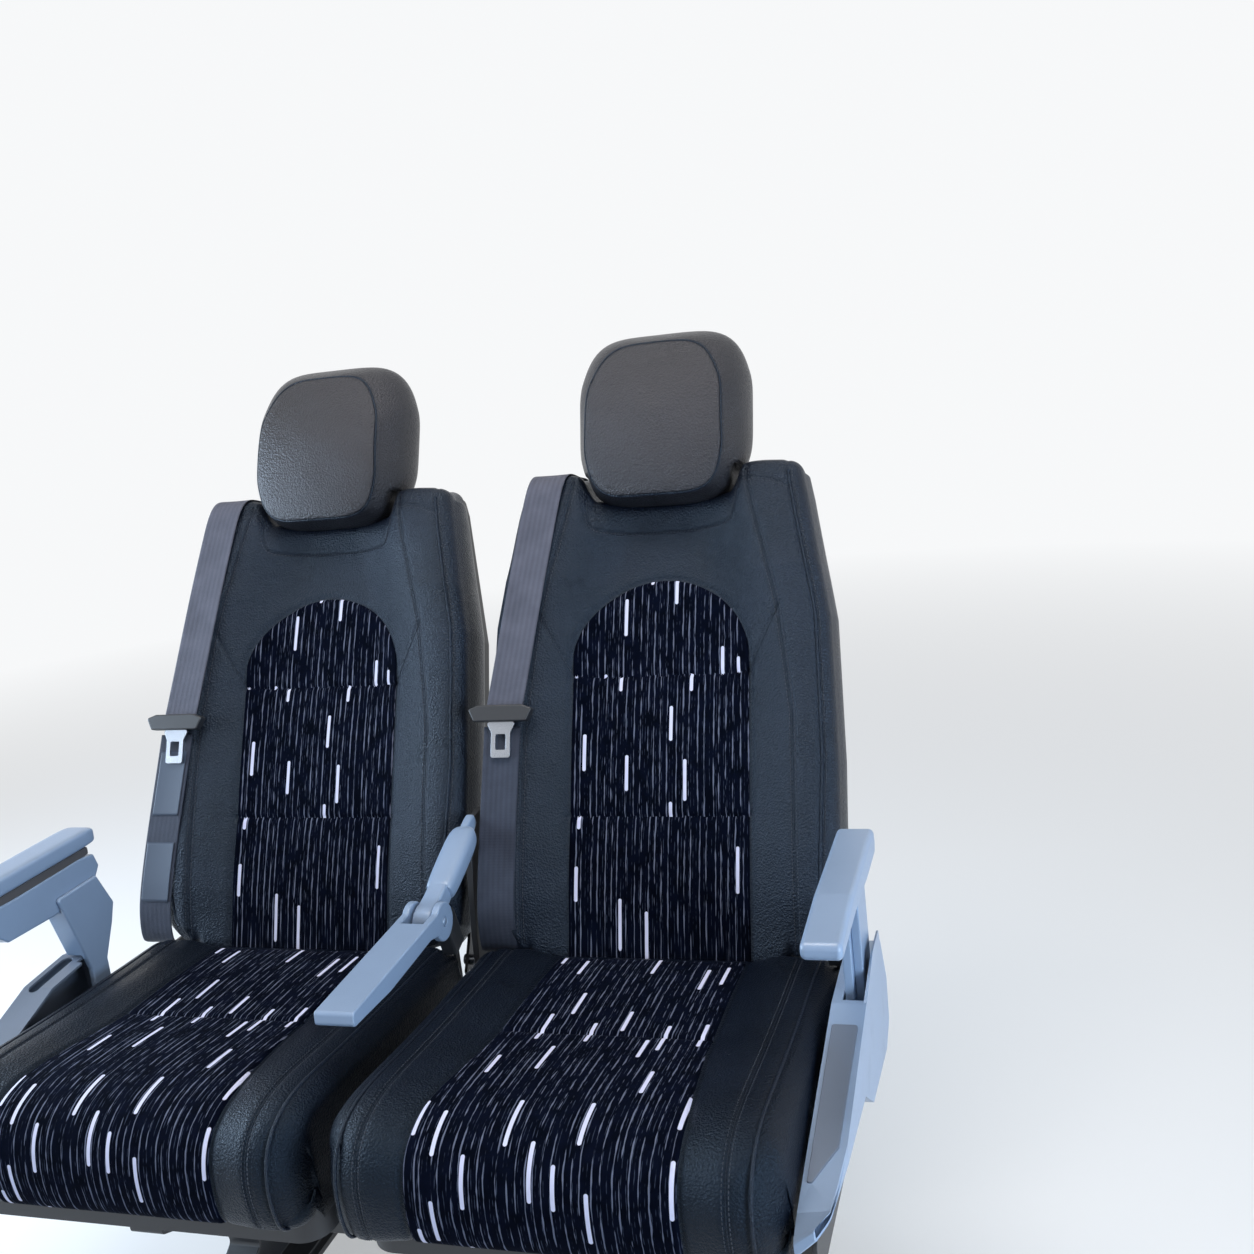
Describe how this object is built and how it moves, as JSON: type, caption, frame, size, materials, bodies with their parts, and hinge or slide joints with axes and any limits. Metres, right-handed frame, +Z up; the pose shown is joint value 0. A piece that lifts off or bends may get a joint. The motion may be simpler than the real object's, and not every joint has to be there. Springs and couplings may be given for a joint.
{
  "type": "twin reclining coach seat",
  "caption": "Twin coach passenger seat on floor legs: reclining backs, headrests, three-point belts, dropping aisle armrest, swing-up centre armrest and fixed window armrest.",
  "frame": {"origin": "floor level, at the centre of the four floor bolts", "axes": "+X across to the aisle, -Y the way the sitter faces, +Z up"},
  "size_m": [1.049, 0.8151, 1.169],
  "materials": {
    "black_leather": "grained",
    "stripe_fabric": "woven stripes",
    "grey_webbing": "woven",
    "black_webbing": "woven",
    "black_plastic": "grained",
    "dark_grey_plastic": "satin",
    "grey_plastic": "satin",
    "orange_plastic": "satin",
    "black_steel": "powder coat",
    "bright_steel": "brushed"
  },
  "bodies": {
    "frame": {"aisle_buckle": "black_plastic", "aisle_buckle_button": "orange_plastic", "aisle_cushion": "black_leather", "aisle_cushion_pan": "black_plastic", "aisle_foot": "black_steel", "aisle_leg": "black_steel", "aisle_shroud": "grey_plastic", "aisle_side_plate": "black_steel", "armrest_guide": "black_steel", "centre_arm_sleeve": "grey_plastic", "centre_plate": "black_steel", "front_tube": "black_steel", "pivot_bolts": "bright_steel", "rear_tube": "black_steel", "shroud_inset": "dark_grey_plastic", "window_arm_body": "grey_plastic", "window_arm_bracket": "grey_plastic", "window_arm_pad": "grey_plastic", "window_buckle": "black_plastic", "window_buckle_button": "orange_plastic", "window_cover": "dark_grey_plastic", "window_cushion": "black_leather", "window_cushion_pan": "black_plastic", "window_foot": "black_steel", "window_leg": "black_steel", "window_side_plate": "black_steel"},
    "window_back": {"window_back_pad": "black_leather", "window_back_shell": "black_plastic", "window_headrest": "black_leather", "window_hinge_plates": "black_steel", "window_pocket": "black_plastic", "window_shoulder_strap": "grey_webbing", "window_lap_strap": "black_webbing", "window_tongue_grip": "black_plastic", "window_tongue_plate": "bright_steel", "window_belt_guide": "black_plastic", "window_belt_anchor": "bright_steel"},
    "aisle_back": {"aisle_back_pad": "black_leather", "aisle_back_shell": "black_plastic", "aisle_headrest": "black_leather", "aisle_hinge_plates": "black_steel", "aisle_pocket": "black_plastic", "aisle_shoulder_strap": "grey_webbing", "aisle_lap_strap": "black_webbing", "aisle_tongue_grip": "black_plastic", "aisle_tongue_plate": "bright_steel", "aisle_belt_guide": "black_plastic", "aisle_belt_anchor": "bright_steel"},
    "centre_arm": {"centre_armrest": "grey_plastic"},
    "aisle_arm": {"aisle_arm_cover": "grey_plastic", "aisle_arm_pad": "grey_plastic", "aisle_arm_post": "grey_plastic"}
  },
  "joints": [
    {"name": "window_recline", "type": "hinge", "parent": "frame", "child": "window_back", "pos_m": [-0.2415, 0.13, 0.395], "axis": [-1, 0, 0], "range_deg": [0, 20]},
    {"name": "aisle_recline", "type": "hinge", "parent": "frame", "child": "aisle_back", "pos_m": [0.2415, 0.13, 0.395], "axis": [-1, 0, 0], "range_deg": [0, 20]},
    {"name": "centre_arm_swing", "type": "hinge", "parent": "frame", "child": "centre_arm", "pos_m": [0, -0.034, 0.528], "axis": [-1, 0, 0], "range_deg": [0, 100]},
    {"name": "aisle_arm_drop", "type": "slide", "parent": "frame", "child": "aisle_arm", "axis": [0, 0, -1], "range_m": [0, 0.06]}
  ]
}
